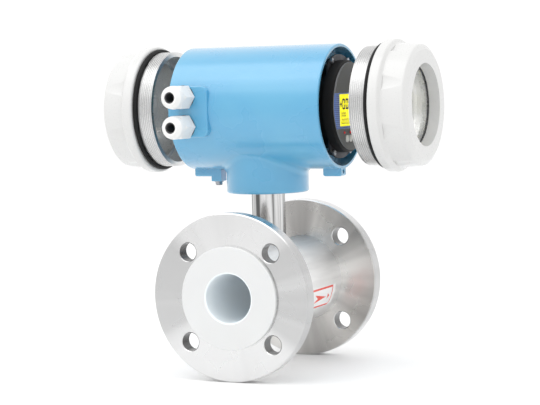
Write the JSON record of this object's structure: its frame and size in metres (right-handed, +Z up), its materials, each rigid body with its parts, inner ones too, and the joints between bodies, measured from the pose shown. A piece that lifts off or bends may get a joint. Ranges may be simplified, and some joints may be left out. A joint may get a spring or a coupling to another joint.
{
  "type": "electromagnetic flow meter",
  "caption": "Flanged stainless flow tube with a white liner, a neck pipe and a blue converter housing whose white screw covers are drawn out to show the display.",
  "frame": {"origin": "centre of the flow bore, halfway between the two flange faces", "axes": "+Y along the pipe in the direction of flow, +X along the converter housing towards its display end, +Z up the neck"},
  "size_m": [0.3283, 0.2, 0.3288],
  "materials": {
    "stainless_turned": "turned and satin polished",
    "stainless_tube": "drawn tube, satin",
    "blue_paint": "semi-gloss polyester powder coat on die-cast aluminium",
    "white_paint": "semi-gloss powder coat, turned spigot bare",
    "ptfe": "skived white PTFE",
    "black_rubber": "moulded nitrile",
    "grey_rubber": "moulded neoprene",
    "window_glass": "toughened clear glass",
    "bare_aluminium": "turned aluminium",
    "white_nylon": "moulded nylon",
    "black_plastic": "moulded ABS",
    "grey_panel": "printed polycarbonate overlay",
    "blue_bezel": "ribbed polycarbonate",
    "lcd": "backlit liquid crystal panel",
    "button_grey": "silicone keys",
    "red_lamp": "clear red epoxy",
    "circuit_board": "glass-epoxy board with green solder mask",
    "zinc_steel": "zinc plated",
    "copper_wire": "enamelled copper winding",
    "soft_iron": "rolled soft iron",
    "brass_screw": "nickel-free brass",
    "label_foil": "printed foil"
  },
  "bodies": {
    "meter": {"inlet_flange": "stainless_turned", "outlet_flange": "stainless_turned", "measuring_tube": "stainless_tube", "ptfe_liner": "ptfe", "coil_shell": "stainless_tube", "upper_coil": "copper_wire", "lower_coil": "copper_wire", "upper_pole_shoe": "soft_iron", "lower_pole_shoe": "soft_iron", "return_yoke": "soft_iron", "right_electrode": "stainless_turned", "left_electrode": "stainless_turned", "right_electrode_bush": "ptfe", "left_electrode_bush": "ptfe", "electrode_nuts": "zinc_steel", "flow_label": "label_foil", "neck_pipe": "stainless_tube", "neck_nut": "zinc_steel", "converter_housing": "blue_paint", "ground_washer": "zinc_steel", "ground_screw": "zinc_steel", "cover_lock_screws": "zinc_steel", "upper_gland_body": "white_nylon", "lower_gland_body": "white_nylon", "gland_gaskets": "grey_rubber", "display_bracket": "zinc_steel", "bracket_pillars": "zinc_steel", "bracket_screws": "zinc_steel", "display_case": "black_plastic", "front_panel": "grey_panel", "display_bezel": "blue_bezel", "lcd_panel": "lcd", "display_board": "circuit_board", "indicator_lamps": "red_lamp", "electronics_can": "black_plastic", "main_board": "circuit_board", "power_board": "circuit_board", "board_standoffs": "brass_screw", "board_screws": "zinc_steel", "transformer": "soft_iron", "terminal_board": "circuit_board", "terminal_block": "black_plastic", "terminal_screws": "brass_screw", "sensor_cable": "black_rubber", "sensor_plug": "white_nylon"},
    "display_cover_seal": {"display_cover_oring": "black_rubber"},
    "display_cover": {"display_cover": "white_paint", "window_gasket": "grey_rubber", "window_glass": "window_glass", "window_ring": "bare_aluminium"},
    "terminal_cover_seal": {"terminal_cover_oring": "black_rubber"},
    "terminal_cover": {"terminal_cover": "white_paint"},
    "upper_gland_seal": {"upper_gland_seal": "black_rubber"},
    "upper_gland_nut": {"upper_gland_nut": "white_nylon"},
    "lower_gland_seal": {"lower_gland_seal": "black_rubber"},
    "lower_gland_nut": {"lower_gland_nut": "white_nylon"},
    "button_1": {"button_1": "button_grey"},
    "button_2": {"button_2": "button_grey"},
    "button_3": {"button_3": "button_grey"},
    "button_4": {"button_4": "button_grey"}
  },
  "joints": [
    {"name": "display_cover_draw", "type": "slide", "parent": "meter", "child": "display_cover_seal", "axis": [1, 0, 0], "range_m": [-0.046, 0]},
    {"name": "display_cover_turn", "type": "hinge", "parent": "display_cover_seal", "child": "display_cover", "pos_m": [0.14, 0, 0.1815], "axis": [1, 0, 0], "range_deg": [-8280, 0]},
    {"name": "terminal_cover_draw", "type": "slide", "parent": "meter", "child": "terminal_cover_seal", "axis": [-1, 0, 0], "range_m": [-0.036, 0]},
    {"name": "terminal_cover_turn", "type": "hinge", "parent": "terminal_cover_seal", "child": "terminal_cover", "pos_m": [-0.124, 0, 0.1815], "axis": [-1, 0, 0], "range_deg": [-6480, 0]},
    {"name": "upper_gland_draw", "type": "slide", "parent": "meter", "child": "upper_gland_seal", "axis": [0, -1, 0], "range_m": [0, 0.003]},
    {"name": "upper_gland_turn", "type": "hinge", "parent": "upper_gland_seal", "child": "upper_gland_nut", "pos_m": [-0.06, -0.083, 0.19475], "axis": [0, -1, 0], "range_deg": [0, 720]},
    {"name": "lower_gland_draw", "type": "slide", "parent": "meter", "child": "lower_gland_seal", "axis": [0, -1, 0], "range_m": [0, 0.003]},
    {"name": "lower_gland_turn", "type": "hinge", "parent": "lower_gland_seal", "child": "lower_gland_nut", "pos_m": [-0.06, -0.083, 0.16525], "axis": [0, -1, 0], "range_deg": [0, 720]},
    {"name": "button_1_press", "type": "slide", "parent": "meter", "child": "button_1", "axis": [-1, 0, 0], "range_m": [0, 0.001], "stiffness_N_per_m": 150},
    {"name": "button_2_press", "type": "slide", "parent": "meter", "child": "button_2", "axis": [-1, 0, 0], "range_m": [0, 0.001], "stiffness_N_per_m": 150},
    {"name": "button_3_press", "type": "slide", "parent": "meter", "child": "button_3", "axis": [-1, 0, 0], "range_m": [0, 0.001], "stiffness_N_per_m": 150},
    {"name": "button_4_press", "type": "slide", "parent": "meter", "child": "button_4", "axis": [-1, 0, 0], "range_m": [0, 0.001], "stiffness_N_per_m": 150}
  ],
  "couplings": [
    {"joint": "display_cover_draw", "follows": "display_cover_turn", "m_per_rad": 0.00031831},
    {"joint": "terminal_cover_draw", "follows": "terminal_cover_turn", "m_per_rad": 0.00031831},
    {"joint": "upper_gland_turn", "follows": "upper_gland_draw", "rad_per_m": 4188.8},
    {"joint": "lower_gland_turn", "follows": "lower_gland_draw", "rad_per_m": 4188.8}
  ]
}
